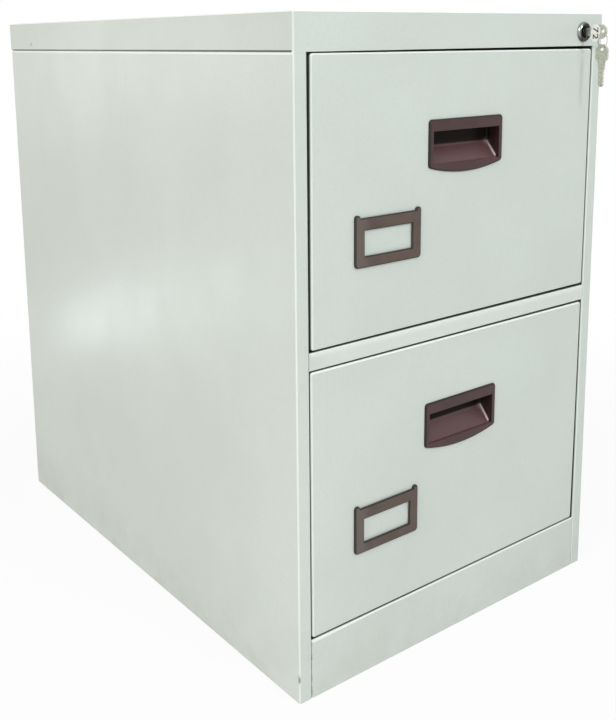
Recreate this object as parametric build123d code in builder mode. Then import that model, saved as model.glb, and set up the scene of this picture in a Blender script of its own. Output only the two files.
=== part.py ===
from build123d import *
import math
import os

# A two-drawer steel filing cabinet, in millimetres.
# X is to the right of a person who faces the drawers, Y runs from the front to the back, Z is up.
# The origin is on the floor, under the middle of the carcass.

# Carcass
width = 460.0
depth = 670.0
height = 700.0
sheet = 1.0
bend = 2.0
header_height = 37.5
plinth_height = 65.5
mid_rail_height = 18.0
mid_rail_depth = 25.0
stile_width = 16.0
lip_depth = 22.0
rear_return = 18.0
cap_edge = 1.2
skirt_groove = 1.2
skirt_corner = 2.5
tongue_height = 26.0
joggle_radius = 0.8
panel_seam = 0.3
plinth_depth = 20.0
base_sheet = 1.2
base_flange = 12.0
edge_radius = 1.5

# Uprights that carry the runners
upright_sheet = 1.2
upright_width = 40.0
upright_foot = 14.0
upright_headroom = 3.0
front_upright_inset = 39.0

# Drawers
front_gap = 2.0
side_gap = 2.25
front_depth = 14.0
front_sheet = 1.0
tub_sheet = 0.8
tub_height = 240.0
tub_rear_gap = 74.0
tub_under_gap = 12.0
file_rail_width = 8.0
file_rail_drop = 7.0
tub_back_drop = 12.0
tub_back_flange = 10.0

# Runners: on each side a cabinet rail and a drawer rail, with a cradle of rollers that runs in both
rail_sheet = 1.4
rail_height = 28.0
rail_lift = 60.0
rail_tip_gap = 0.6
roller_width = 7.8
roller_play = 0.3
roller_side_play = 0.4
roller_bar_gap = 0.3
rail_bar_gap = 0.4
bar_thickness = 2.0
bar_height = 22.0
bar_overhang = 11.0
bar_corner = 5.0
pin_radius = 3.0
pin_tab_gap = 1.0
pin_play = 0.05
front_axle_inset = 37.0
rear_axle_inset = 73.0
stop_play = 0.3

# Handles
handle_width = 112.0
handle_side_height = 52.0
handle_arc_sag = 7.0
handle_below_top = 69.5
handle_rim = 2.5
handle_corner = 4.0
handle_edge = 1.2
cup_half_width = 50.0
cup_wall = 1.5
cup_top = 12.5
cup_bottom = 49.5
cup_ridge = 30.0
cup_pocket_top = 8.0
cup_depth = 15.5
cup_lip = 1.0
cup_hole_play = 0.2

# Label holders
label_width = 90.0
label_height = 52.5
label_thickness = 3.0
label_inset = 54.75
label_above_bottom = 72.0
label_window_width = 65.0
label_window_height = 28.0
label_window_lift = 11.5
label_corner = 4.0
label_ear_radius = 4.0
label_ear_rise = 3.0
card_width = 76.0
card_margin = 4.0
card_slot = 1.0
tongue_length = 2.5
tongue_width = 6.0
tongue_thickness = 2.0
tongue_reach = 41.0
tongue_play = 0.2

# Lock
lock_inset = 36.0
lock_above_header = 16.0
bezel_radius = 11.3
bezel_height = 4.0
barrel_radius = 9.5
barrel_length = 22.5
barrel_play = 0.1
clip_size = 26.0
clip_corner = 3.0
clip_sheet = 2.0
plug_radius = 6.0
plug_face = 4.5
plug_tail = 1.0
plug_play = 0.05
cam_thickness = 2.0
cam_height = 9.0
cam_corner = 2.5
cam_pin_radius = 2.0
cam_throw = 8.0
cam_rest_angle = 45.0
cam_pin_reach = 1.5

# Lock bar, its guides and the catches on the drawers
bar_inset = 27.0
bar_sheet = 2.0
lock_bar_width = 10.0
bar_side_gap = 2.0
bar_arm_height = 15.0
bar_tail = 39.0
fork_play = 0.4
fork_end_play = 0.6
fork_mouth = 0.3
hook_reach = 14.0
hook_height = 10.0
hook_clearance = 1.5
guide_height = 14.0
guide_wall = 1.1
guide_play = 0.3
guide_inset = 15.0
guide_headroom = 22.5
catch_lift = 225.0
catch_sheet = 2.0
catch_flange = 16.0
catch_length = 18.0
catch_edge_gap = 3.0
catch_slot_play = 2.2
catch_slot_depth = 10.0

# Keys, their ring and the number tag
key_thickness = 2.0
key_bow_length = 21.5
key_bow_width = 16.5
key_bow_corner = 5.0
key_neck = 6.5
key_neck_width = 9.0
key_blade = 20.5
key_blade_width = 7.0
key_tip = 2.2
key_notch = 1.6
key_notch_pitch = 4.0
key_hole_radius = 2.2
key_hole_inset = 5.5
keyway_play = 0.15
keyway_end_play = 1.0
ring_radius = 8.5
ring_wire = 1.2
ring_flat = 1.0
ring_hang = 1.3
tag_length = 20.0
tag_width = 12.5
tag_thickness = 0.8
tag_corner = 4.0
tag_offset = 6.75
tag_drop = 1.5

# Places that follow from the sizes above
front_y = -depth / 2
back_y = depth / 2
side_x = width / 2
open_x = side_x - stile_width
header_bottom = height - header_height
opening_height = (header_bottom - plinth_height - mid_rail_height) / 2
lower_opening_z = plinth_height
upper_opening_z = plinth_height + opening_height + mid_rail_height
front_half_width = open_x - side_gap
front_height = opening_height - 2 * front_gap
front_back_y = front_y + front_depth
front_upright_y = front_y + front_upright_inset
tub_back_y = back_y - tub_rear_gap
label_center_x = label_inset + label_width / 2 - front_half_width

bar_inner_x = open_x - rail_sheet - rail_bar_gap - bar_thickness
roller_outer_x = bar_inner_x - roller_bar_gap
cabinet_tip_x = roller_outer_x - roller_width
drawer_tip_x = cabinet_tip_x - rail_tip_gap
roller_inner_x = drawer_tip_x - roller_width
tub_half_width = roller_inner_x - roller_side_play - rail_sheet
roller_radius = (rail_height - 2 * rail_sheet) / 2 - roller_play
front_axle_y = front_y + front_axle_inset
rear_axle_y = back_y - rear_axle_inset
middle_axle_y = (front_axle_y + rear_axle_y) / 2
axle_spacing = rear_axle_y - middle_axle_y
drawer_travel = 2 * axle_spacing
rail_end = roller_radius + stop_play + rail_sheet
rail_front_y = front_axle_y - rail_end
cabinet_rail_front_y = middle_axle_y - drawer_travel / 2 - rail_end
cabinet_rail_back_y = rear_axle_y + rail_end
drawer_rail_back_y = middle_axle_y + drawer_travel / 2 + rail_end

lock_x = side_x - lock_inset
lock_z = header_bottom + lock_above_header
bar_y = front_y + bar_inset
housing_back_y = front_y + barrel_length
cam_y = housing_back_y + plug_tail
bar_outer_edge = side_x - sheet - bar_side_gap
bar_inner_edge = bar_outer_edge - lock_bar_width
cam_pin_x = lock_x + cam_throw * math.cos(math.radians(cam_rest_angle))
cam_pin_z = lock_z + cam_throw * math.sin(math.radians(cam_rest_angle))
bar_drop = 2 * cam_throw * math.sin(math.radians(cam_rest_angle))

drawers = {"upper": upper_opening_z + front_gap, "lower": lower_opening_z + front_gap}
sides = {"left": -1, "right": 1}


def save(piece, name):
    """Label a finished piece and write it to its own file."""
    piece.part.label = name
    export_step(piece.part, f"parts/{name}.step")


def across(y):
    """A plane across the cabinet at this depth, with X to the right and Z up. It faces the front."""
    return Plane.XZ.offset(-y)


def bent(points, thickness, radius, side):
    """The outline of a bent sheet, drawn from the corner points of one of its faces."""
    with BuildSketch(mode=Mode.PRIVATE) as outline:
        with BuildLine():
            FilletPolyline(*points, radius=radius)
            offset(amount=thickness, side=side)
        make_face()
    return outline.sketch


def folded(points, thickness, side, corner=Kind.ARC):
    """The outline of a sheet folded tight, drawn from the corner points of its inner face."""
    with BuildSketch(mode=Mode.PRIVATE) as outline:
        with BuildLine():
            Polyline(*points)
            offset(amount=thickness, side=side, kind=corner)
        make_face()
    return outline.sketch


def between(low, high):
    """The middle of a span and its length."""
    return (low + high) / 2, high - low


# Carcass

os.makedirs("parts", exist_ok=True)

# The cap has its skirts and header folded down. A groove shows under the side and rear skirts.
with BuildPart() as top_cover:
    with BuildSketch(Plane.XY.offset(header_bottom)):
        Rectangle(width, depth)
    extrude(amount=header_height)
    fillet(top_cover.edges().filter_by(Axis.Z).group_by(Axis.Y)[0], bend)
    chamfer(top_cover.edges().group_by(Axis.Z)[-1], cap_edge)
    with BuildSketch(Plane.XY.offset(header_bottom)):
        Rectangle(width - 2 * sheet, depth - 2 * sheet)
    extrude(amount=header_height - sheet, mode=Mode.SUBTRACT)
    with BuildSketch(Plane.XY.offset(header_bottom)):
        with Locations((0, skirt_corner)):
            Rectangle(width, depth)
    extrude(amount=skirt_groove, mode=Mode.SUBTRACT)
    with BuildSketch(Plane.XY.offset(header_bottom)):
        with Locations((0, front_y + lip_depth / 2)):
            Rectangle(2 * open_x, lip_depth)
    extrude(amount=sheet)
    with BuildSketch(across(front_y)):
        with Locations((lock_x, lock_z)):
            Circle(barrel_radius + barrel_play)
    extrude(amount=-2 * sheet, mode=Mode.SUBTRACT)
save(top_cover, "top_cover")

# Each side is one sheet: the wall, the front stile with its inward lip, the rear return and, behind
# the skirt, a joggled tongue.
for side_name, side in sides.items():
    with BuildPart() as side_panel:
        with BuildSketch(Plane.XY):
            wall = [
                (side * open_x, front_y + lip_depth),
                (side * open_x, front_y),
                (side * side_x, front_y),
                (side * side_x, back_y - sheet),
                (side * (side_x - rear_return), back_y - sheet),
            ]
            add(bent(wall, sheet, bend, Side.RIGHT if side < 0 else Side.LEFT))
        extrude(amount=header_bottom)
        with BuildSketch(across(front_y + skirt_corner + sheet)):
            with BuildLine():
                Polyline(
                    (side * (side_x - sheet), header_bottom - tongue_height / 2),
                    (side * side_x, header_bottom - tongue_height / 2),
                    (side * side_x, header_bottom),
                    (side * (side_x - sheet), header_bottom),
                    (side * (side_x - sheet), header_bottom + tongue_height),
                    (side * (side_x - 2 * sheet), header_bottom + tongue_height),
                    (side * (side_x - 2 * sheet), header_bottom - sheet),
                    (side * (side_x - sheet), header_bottom - sheet),
                    close=True,
                )
            make_face()
        extrude(amount=skirt_corner + 3 * sheet + bend - depth)
        with BuildSketch(across(front_y + skirt_corner)):
            with BuildLine():
                Line((side * (side_x - joggle_radius), header_bottom), (side * side_x, header_bottom))
                Line((side * side_x, header_bottom), (side * side_x, header_bottom - joggle_radius))
                RadiusArc(
                    (side * side_x, header_bottom - joggle_radius),
                    (side * (side_x - joggle_radius), header_bottom),
                    -side * joggle_radius,
                )
            make_face()
        extrude(amount=-depth, mode=Mode.SUBTRACT)
    save(side_panel, f"{side_name}_side_panel")

# The back panel lies on the rear returns, with a tongue behind the rear skirt.
with BuildPart() as back_panel:
    with BuildSketch(across(back_y)):
        with Locations((0, header_bottom / 2)):
            Rectangle(width - 2 * bend, header_bottom)
    extrude(amount=sheet)
    with BuildSketch(across(back_y - sheet)):
        with Locations((0, header_bottom + tongue_height / 2 - sheet)):
            Rectangle(2 * (side_x - rear_return - sheet), tongue_height)
    extrude(amount=sheet)
    back_edge = back_panel.edges().filter_by(Axis.X).group_by(Axis.Y)[-1].sort_by(Axis.Z)[-1]
    fillet(back_edge, joggle_radius)
save(back_panel, "back_panel")

# The base is a flat tray on the floor, flanged up inside the sides.
with BuildPart() as base_panel:
    tray_half = side_x - sheet
    with BuildSketch(across(front_y + lip_depth + panel_seam)):
        floor_line = [
            (base_sheet - tray_half, base_flange),
            (base_sheet - tray_half, base_sheet),
            (tray_half - base_sheet, base_sheet),
            (tray_half - base_sheet, base_flange),
        ]
        add(folded(floor_line, base_sheet, Side.RIGHT, Kind.INTERSECTION))
    extrude(amount=-(depth - lip_depth - panel_seam - 2 * bend))
save(base_panel, "base_panel")

# The plinth closes the front under the lower drawer, with a fine seam beside each stile.
with BuildPart() as plinth_panel:
    plinth_half = open_x - panel_seam
    with BuildSketch(Plane.XY):
        with Locations((0, front_y + plinth_depth / 2)):
            Rectangle(2 * plinth_half, plinth_depth)
    extrude(amount=plinth_height)
    front_face_edges = plinth_panel.faces().sort_by(Axis.Y)[0].edges()
    fillet(front_face_edges.sort_by(Axis.Z)[1:], edge_radius)
    with BuildSketch(Plane.XY):
        with Locations((0, front_y + plinth_depth / 2 + sheet)):
            Rectangle(2 * (plinth_half - sheet), plinth_depth)
    extrude(amount=plinth_height - sheet, mode=Mode.SUBTRACT)
save(plinth_panel, "plinth_panel")

# The rail between the drawers is a channel that ends on the stile lips.
with BuildPart() as cross_rail:
    with BuildSketch(Plane.YZ.offset(-open_x)):
        rail_top = upper_opening_z - sheet
        rail_foot = upper_opening_z - mid_rail_height + sheet
        rail_line = [
            (front_y + mid_rail_depth, rail_top),
            (front_y + sheet, rail_top),
            (front_y + sheet, rail_foot),
            (front_y + mid_rail_depth, rail_foot),
        ]
        add(folded(rail_line, sheet, Side.RIGHT))
    extrude(amount=2 * open_x)
save(cross_rail, "cross_rail")

# Four upright channels stand inside the side walls, flush with the stile lips.
upright_fronts = {"front": front_upright_y, "rear": cabinet_rail_back_y - upright_width}
for side_name, side in sides.items():
    for place, upright_y in upright_fronts.items():
        with BuildPart() as upright:
            with BuildSketch(Plane.XY.offset(upright_foot)):
                channel = [
                    (side * (side_x - sheet), upright_y + upright_sheet),
                    (side * (open_x + upright_sheet), upright_y + upright_sheet),
                    (side * (open_x + upright_sheet), upright_y + upright_width - upright_sheet),
                    (side * (side_x - sheet), upright_y + upright_width - upright_sheet),
                ]
                outer_side = Side.RIGHT if side < 0 else Side.LEFT
                add(folded(channel, upright_sheet, outer_side, Kind.INTERSECTION))
            extrude(amount=header_bottom - upright_headroom - upright_foot)
        save(upright, f"{side_name}_{place}_upright")


# Runners


def channel_rail(web_x, tip_x, tab_x, rail_z, y_low, y_high, facing):
    """A channel with its web at web_x, its open side at tip_x, and a stop tab up from each end."""
    web_inner_x = web_x + facing * rail_sheet
    half_inside = rail_height / 2 - rail_sheet
    with BuildPart() as rail:
        with BuildSketch(across(y_low)):
            section = [
                (tip_x, rail_z + half_inside),
                (web_inner_x, rail_z + half_inside),
                (web_inner_x, rail_z - half_inside),
                (tip_x, rail_z - half_inside),
            ]
            add(folded(section, rail_sheet, Side.RIGHT if facing > 0 else Side.LEFT))
        extrude(amount=y_low - y_high)
        tab_mid_x, tab_width = between(tab_x, tip_x)
        tab_mid_z, tab_height = between(rail_z - half_inside, rail_z - pin_radius - pin_tab_gap)
        for tab_y in (y_low, y_high - rail_sheet):
            with BuildSketch(across(tab_y)):
                with Locations((tab_mid_x, tab_mid_z)):
                    Rectangle(abs(tab_width), tab_height)
            extrude(amount=-rail_sheet)
    return rail


# Both rails of a side face each other on one axis. The rear rollers are narrow and run in the cabinet
# rail, the front ones are narrow and run in the drawer rail, and the wide middle ones run in both.
roller_places = {
    "rear": (rear_axle_y, roller_outer_x, cabinet_tip_x),
    "middle": (middle_axle_y, roller_outer_x, roller_inner_x),
    "front": (front_axle_y, drawer_tip_x, roller_inner_x),
}

for drawer_name, drawer_z in drawers.items():
    rail_z = drawer_z + rail_lift
    for side_name, side in sides.items():
        cabinet_rail = channel_rail(
            side * open_x,
            side * cabinet_tip_x,
            side * roller_outer_x,
            rail_z,
            cabinet_rail_front_y,
            cabinet_rail_back_y,
            -side,
        )
        save(cabinet_rail, f"{drawer_name}_{side_name}_cabinet_rail")

        drawer_rail = channel_rail(
            side * tub_half_width,
            side * drawer_tip_x,
            side * tub_half_width,
            rail_z,
            rail_front_y,
            drawer_rail_back_y,
            side,
        )
        save(drawer_rail, f"{drawer_name}_{side_name}_drawer_rail")

        # The cradle is a bar beside the cabinet rail's web, with a riveted pin for each roller.
        with BuildPart() as cradle:
            with BuildSketch(Plane.YZ.offset(side * bar_inner_x)):
                with Locations((middle_axle_y, rail_z)):
                    bar = Rectangle(2 * axle_spacing + 2 * bar_overhang, bar_height)
                chamfer(bar.vertices(), bar_corner)
            extrude(amount=side * bar_thickness)
            for axle_y, outer_x, inner_x in roller_places.values():
                with BuildSketch(Plane.YZ.offset(side * bar_inner_x)):
                    with Locations((axle_y, rail_z)):
                        Circle(pin_radius)
                extrude(amount=side * (inner_x - bar_inner_x))
        save(cradle, f"{drawer_name}_{side_name}_cradle")

    # Rollers on one axis, left and right, turn together.
    for place, (axle_y, outer_x, inner_x) in roller_places.items():
        with BuildPart() as rollers:
            for side in sides.values():
                with BuildSketch(Plane.YZ.offset(side * inner_x)):
                    with Locations((axle_y, rail_z)):
                        Circle(roller_radius)
                        Circle(pin_radius + pin_play, mode=Mode.SUBTRACT)
                extrude(amount=side * (outer_x - inner_x))
        save(rollers, f"{drawer_name}_{place}_rollers")


# Drawers


def cup_hole(front_top):
    """The rectangle that the handle's cup passes through, in the front and its backing."""
    top = front_top - handle_below_top - cup_pocket_top + cup_wall + cup_hole_play
    bottom = front_top - handle_below_top - cup_bottom - cup_wall - cup_hole_play
    middle, tall = between(bottom, top)
    with BuildSketch(mode=Mode.PRIVATE) as hole:
        with Locations((0, middle)):
            Rectangle(2 * (cup_half_width + cup_wall + cup_hole_play), tall)
    return hole.sketch


def label_frame(label_bottom):
    """The label holder's outline with its two ears, without the window."""
    with BuildSketch(mode=Mode.PRIVATE) as frame:
        with Locations((label_center_x, label_bottom + label_height / 2)):
            Rectangle(label_width, label_height)
        fillet(frame.vertices().group_by(Axis.Y)[0], label_corner)
        ear_x = label_width / 2 - label_ear_radius
        ear_z = label_bottom + label_height + label_ear_rise - label_ear_radius
        with Locations((label_center_x - ear_x, ear_z), (label_center_x + ear_x, ear_z)):
            Circle(label_ear_radius)
    return frame.sketch


for drawer_name, drawer_z in drawers.items():
    front_top = drawer_z + front_height
    front_mid_z = drawer_z + front_height / 2
    handle_top = front_top - handle_below_top
    label_bottom = drawer_z + label_above_bottom
    tub_bottom = drawer_z + tub_under_gap
    tub_top = tub_bottom + tub_height
    tongue_z = label_bottom + label_height / 2
    tongue_places = [
        (label_center_x - tongue_reach, tongue_z),
        (label_center_x + tongue_reach, tongue_z),
    ]

    # The front is a shallow pan: one sheet with its four edges bent back, open behind.
    with BuildPart() as front_panel:
        with BuildSketch(across(front_y)):
            with Locations((0, front_mid_z)):
                Rectangle(2 * front_half_width, front_height)
        extrude(amount=-front_depth)
        fillet(front_panel.faces().sort_by(Axis.Y)[0].edges(), edge_radius)
        with BuildSketch(across(front_y + front_sheet)):
            with Locations((0, front_mid_z)):
                Rectangle(2 * (front_half_width - front_sheet), front_height - 2 * front_sheet)
        extrude(amount=-front_depth, mode=Mode.SUBTRACT)
        with BuildSketch(across(front_y - front_sheet)):
            add(cup_hole(front_top))
            with Locations(*tongue_places):
                Rectangle(tongue_width + 2 * tongue_play, tongue_thickness + 2 * tongue_play)
        extrude(amount=-3 * front_sheet, mode=Mode.SUBTRACT)
    save(front_panel, f"{drawer_name}_front_panel")

    # A flat backing closes the pressing and carries the tub.
    with BuildPart() as front_backing:
        with BuildSketch(across(front_back_y)):
            with Locations((0, front_mid_z)):
                Rectangle(2 * (front_half_width - front_sheet), front_height - 2 * front_sheet)
            add(cup_hole(front_top), mode=Mode.SUBTRACT)
        extrude(amount=front_sheet)
    save(front_backing, f"{drawer_name}_front_backing")

    # The tub is one sheet: its floor, its sides and the rolled rails that hanging files ride on.
    with BuildPart() as tub:
        with BuildSketch(across(front_back_y)):
            roll_x = tub_half_width - file_rail_width
            wall_x = tub_half_width - tub_sheet
            tub_line = [
                (-roll_x, tub_top - file_rail_drop),
                (-roll_x, tub_top - tub_sheet),
                (-wall_x, tub_top - tub_sheet),
                (-wall_x, tub_bottom + tub_sheet),
                (wall_x, tub_bottom + tub_sheet),
                (wall_x, tub_top - tub_sheet),
                (roll_x, tub_top - tub_sheet),
                (roll_x, tub_top - file_rail_drop),
            ]
            add(folded(tub_line, tub_sheet, Side.RIGHT))
        extrude(amount=front_back_y - tub_back_y)
    save(tub, f"{drawer_name}_tub")

    # The tub's back is a plate with a flange along its top and its foot.
    with BuildPart() as tub_back:
        with BuildSketch(Plane.YZ.offset(tub_sheet - tub_half_width)):
            back_inner_y = tub_back_y - tub_sheet
            back_line = [
                (tub_back_y - tub_back_flange, tub_top - tub_back_drop),
                (back_inner_y, tub_top - tub_back_drop),
                (back_inner_y, tub_bottom + 2 * tub_sheet),
                (tub_back_y - tub_back_flange, tub_bottom + 2 * tub_sheet),
            ]
            add(folded(back_line, tub_sheet, Side.LEFT, Kind.INTERSECTION))
        extrude(amount=2 * (tub_half_width - tub_sheet))
    save(tub_back, f"{drawer_name}_tub_back")

    # The handle is one moulding: a raised rim with an arched lower edge, and a finger cup behind it.
    with BuildPart() as handle:
        half = handle_width / 2
        with BuildSketch(across(front_y)):
            with BuildLine():
                Polyline(
                    (half, handle_top - handle_side_height),
                    (half, handle_top),
                    (-half, handle_top),
                    (-half, handle_top - handle_side_height),
                )
                ThreePointArc(
                    (-half, handle_top - handle_side_height),
                    (0, handle_top - handle_side_height - handle_arc_sag),
                    (half, handle_top - handle_side_height),
                )
            rim = make_face()
            fillet(rim.vertices(), handle_corner)
        extrude(amount=handle_rim)
        chamfer(handle.faces().sort_by(Axis.Y)[0].edges(), handle_edge)
        with BuildSketch(Plane.YZ.offset(-cup_half_width - cup_wall)):
            with BuildLine():
                Polyline(
                    (front_y, handle_top - cup_bottom - cup_wall),
                    (front_y + cup_wall, handle_top - cup_bottom - cup_wall),
                    (front_y + cup_depth + cup_wall, handle_top - cup_ridge - cup_wall),
                    (front_y + cup_depth + cup_wall, handle_top - cup_pocket_top + cup_wall),
                    (front_y, handle_top - cup_pocket_top + cup_wall),
                    close=True,
                )
            make_face()
        extrude(amount=2 * (cup_half_width + cup_wall))
        with BuildSketch(Plane.YZ.offset(-cup_half_width)):
            with BuildLine():
                Polyline(
                    (front_y - handle_rim, handle_top - cup_bottom),
                    (front_y, handle_top - cup_bottom),
                    (front_y + cup_depth, handle_top - cup_ridge),
                    (front_y + cup_depth, handle_top - cup_pocket_top),
                    (front_y + cup_lip, handle_top - cup_pocket_top),
                    (front_y + cup_lip, handle_top - cup_top),
                    (front_y - handle_rim, handle_top - cup_top),
                    close=True,
                )
            make_face()
        extrude(amount=2 * cup_half_width, mode=Mode.SUBTRACT)
    save(handle, f"{drawer_name}_handle")

    # The label holder stands off the front, open at the top for its card, with two tongues behind.
    with BuildPart() as label_holder:
        window_bottom = label_bottom + label_window_lift
        window_mid = window_bottom + label_window_height / 2
        with BuildSketch(across(front_y)):
            add(label_frame(label_bottom))
            with Locations((label_center_x, window_mid)):
                Rectangle(label_window_width, label_window_height, mode=Mode.SUBTRACT)
        extrude(amount=label_thickness)
        with BuildSketch(across(front_y)):
            card_bottom = window_bottom - card_margin
            card_mid, card_height = between(card_bottom, label_bottom + 2 * label_height)
            with Locations((label_center_x, card_mid)):
                Rectangle(card_width, card_height)
        extrude(amount=card_slot, mode=Mode.SUBTRACT)
        with BuildSketch(across(front_y)):
            with Locations(*tongue_places):
                Rectangle(tongue_width, tongue_thickness)
        extrude(amount=-tongue_length)
    save(label_holder, f"{drawer_name}_label_holder")

    # The catch is an angle on the tub's right side. Its slot lets a hook of the lock bar in.
    with BuildPart() as lock_catch:
        catch_z = drawer_z + catch_lift
        with BuildSketch(across(front_back_y)):
            catch_line = [
                (tub_half_width + catch_sheet, catch_z - catch_flange),
                (tub_half_width + catch_sheet, catch_z - catch_sheet),
                (open_x - catch_edge_gap, catch_z - catch_sheet),
            ]
            add(folded(catch_line, catch_sheet, Side.LEFT))
        extrude(amount=-catch_length)
        with BuildSketch(Plane.XY.offset(catch_z - 2 * catch_sheet)):
            slot_mid, slot_wide = between(bar_y - catch_slot_play, bar_y + bar_sheet + catch_slot_play)
            with Locations((open_x - catch_edge_gap - catch_slot_depth / 2, slot_mid)):
                Rectangle(catch_slot_depth, slot_wide)
        extrude(amount=3 * catch_sheet, mode=Mode.SUBTRACT)
    save(lock_catch, f"{drawer_name}_lock_catch")


# Lock

# The housing has a round bezel outside the header and a barrel through it.
with BuildPart() as lock_housing:
    with BuildSketch(across(front_y)):
        with Locations((lock_x, lock_z)):
            Circle(bezel_radius)
    extrude(amount=bezel_height)
    with BuildSketch(across(front_y)):
        with Locations((lock_x, lock_z)):
            Circle(barrel_radius)
    extrude(amount=-barrel_length)
    with BuildSketch(across(front_y - bezel_height)):
        with Locations((lock_x, lock_z)):
            Circle(plug_radius + plug_play)
    extrude(amount=-bezel_height - barrel_length, mode=Mode.SUBTRACT)
save(lock_housing, "lock_housing")

# A spring clip slides over the barrel from above and holds the housing against the header.
with BuildPart() as lock_clip:
    with BuildSketch(across(front_y + sheet)):
        with Locations((lock_x, lock_z)):
            clip = Rectangle(clip_size, clip_size)
        chamfer(clip.vertices(), clip_corner)
        with Locations((lock_x, lock_z - clip_size / 2)):
            Rectangle(2 * (barrel_radius + barrel_play), clip_size + 2 * barrel_radius, mode=Mode.SUBTRACT)
    extrude(amount=-clip_sheet)
save(lock_clip, "lock_clip")

# The plug turns in the barrel. Its keyway is upright at rest.
with BuildPart() as lock_plug:
    with BuildSketch(across(front_y - plug_face)):
        with Locations((lock_x, lock_z)):
            Circle(plug_radius)
    extrude(amount=front_y - plug_face - cam_y)
    with BuildSketch(across(front_y - plug_face)):
        with Locations((lock_x, lock_z)):
            Rectangle(key_thickness + 2 * keyway_play, key_blade_width + 2 * keyway_play)
    extrude(amount=-key_blade - keyway_end_play, mode=Mode.SUBTRACT)
save(lock_plug, "lock_plug")

# The cam is a link on the plug's tail, with a pin that works the lock bar.
with BuildPart() as lock_cam:
    with BuildSketch(across(cam_y)):
        with Locations(((lock_x + cam_pin_x) / 2, (lock_z + cam_pin_z) / 2)):
            link = Rectangle(cam_throw + cam_height, cam_height, rotation=cam_rest_angle)
        chamfer(link.vertices(), cam_corner)
    extrude(amount=-cam_thickness)
    with BuildSketch(across(cam_y + cam_thickness)):
        with Locations((cam_pin_x, cam_pin_z)):
            Circle(cam_pin_radius)
    extrude(amount=cam_y + cam_thickness - bar_y - bar_sheet - cam_pin_reach)
save(lock_cam, "lock_cam")

# The lock bar hangs on the cam pin by its forked arm, and has a hook for each drawer's catch.
hook_levels = [z + catch_lift + hook_clearance for z in drawers.values()]
bar_foot = min(hook_levels) - bar_tail
arm_top = cam_pin_z + bar_arm_height / 2
with BuildPart() as lock_bar:
    with BuildSketch(across(bar_y)):
        bar_mid, bar_long = between(bar_foot, arm_top)
        with Locations(((bar_inner_edge + bar_outer_edge) / 2, bar_mid)):
            Rectangle(lock_bar_width, bar_long)
        for hook_z in hook_levels:
            with Locations((bar_inner_edge - hook_reach / 2, hook_z + hook_height / 2)):
                Rectangle(hook_reach, hook_height)
        fork_x = cam_pin_x - cam_pin_radius - fork_mouth
        arm_mid, arm_reach = between(fork_x, bar_inner_edge)
        with Locations((arm_mid, cam_pin_z)):
            Rectangle(arm_reach, bar_arm_height)
        slot_end = lock_x + cam_throw + cam_pin_radius + fork_end_play
        fork_mid, fork_reach = between(fork_x, slot_end)
        with Locations((fork_mid, cam_pin_z)):
            Rectangle(fork_reach, 2 * (cam_pin_radius + fork_play), mode=Mode.SUBTRACT)
    extrude(amount=-bar_sheet)
save(lock_bar, "lock_bar")

# Three guides on the right side wall hold the bar.
with BuildPart() as lock_bar_guides:
    guide_low = bar_y - guide_play - guide_wall
    guide_high = bar_y + bar_sheet + guide_play + guide_wall
    guide_x = bar_inner_edge - guide_play - guide_wall
    middle_guide_z = (max(hook_levels) + min(hook_levels) + hook_height) / 2
    for guide_z in (bar_foot + guide_inset, middle_guide_z, header_bottom - guide_headroom):
        with BuildSketch(Plane.XY.offset(guide_z - guide_height / 2)):
            with BuildLine():
                Polyline(
                    (side_x - sheet, guide_low),
                    (guide_x, guide_low),
                    (guide_x, guide_high),
                    (side_x - sheet, guide_high),
                    (side_x - sheet, guide_high - guide_wall),
                    (guide_x + guide_wall, guide_high - guide_wall),
                    (guide_x + guide_wall, guide_low + guide_wall),
                    (side_x - sheet, guide_low + guide_wall),
                    close=True,
                )
            make_face()
        extrude(amount=guide_height)
save(lock_bar_guides, "lock_bar_guides")


# Keys


def key_outline():
    """A flat key along local X: the bow's outer end at 0, the blade's tip at the far end."""
    bow_end = key_bow_length
    blade_start = key_bow_length + key_neck
    blade_end = blade_start + key_blade
    half_blade = key_blade_width / 2
    with BuildSketch(mode=Mode.PRIVATE) as outline:
        with Locations((key_bow_length / 2, 0)):
            bow = Rectangle(key_bow_length, key_bow_width)
        chamfer(bow.vertices(), key_bow_corner)
        neck_mid, neck_long = between(bow_end - key_neck, blade_start)
        with Locations((neck_mid, 0)):
            Rectangle(neck_long, key_neck_width)
        with BuildLine():
            Polyline(
                (blade_start, half_blade),
                (blade_end - key_tip, half_blade),
                (blade_end, half_blade - key_tip),
                (blade_end, key_tip - half_blade),
                (blade_end - key_tip, -half_blade),
                (blade_start, -half_blade),
                close=True,
            )
        make_face()
        notches = int(key_blade / key_notch_pitch) - 1
        for notch in range(notches):
            with Locations((blade_start + (notch + 1) * key_notch_pitch, -half_blade)):
                Rectangle(key_notch, key_notch, rotation=45, mode=Mode.SUBTRACT)
        with Locations((key_hole_inset, 0)):
            Circle(key_hole_radius, mode=Mode.SUBTRACT)
    return outline.sketch


key_end_y = front_y - plug_face - key_neck - key_bow_length
ring_top_y = key_end_y + key_hole_inset
ring_top_z = lock_z - ring_hang
ring_z = ring_top_z - ring_radius
ring_bottom_z = ring_top_z - 2 * ring_radius
spare_hole_z = ring_bottom_z - ring_hang
spare_top_z = spare_hole_z + key_hole_inset

with BuildPart() as key:
    key_plane = Plane(
        origin=(lock_x - key_thickness / 2, key_end_y, lock_z), x_dir=(0, 1, 0), z_dir=(1, 0, 0)
    )
    with BuildSketch(key_plane):
        add(key_outline())
    extrude(amount=key_thickness)
save(key, "key")

with BuildPart() as spare_key:
    spare_plane = Plane(
        origin=(lock_x - key_thickness / 2, ring_top_y, spare_top_z), x_dir=(0, 0, -1), z_dir=(1, 0, 0)
    )
    with BuildSketch(spare_plane):
        add(key_outline())
    extrude(amount=key_thickness)
save(spare_key, "spare_key")

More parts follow.
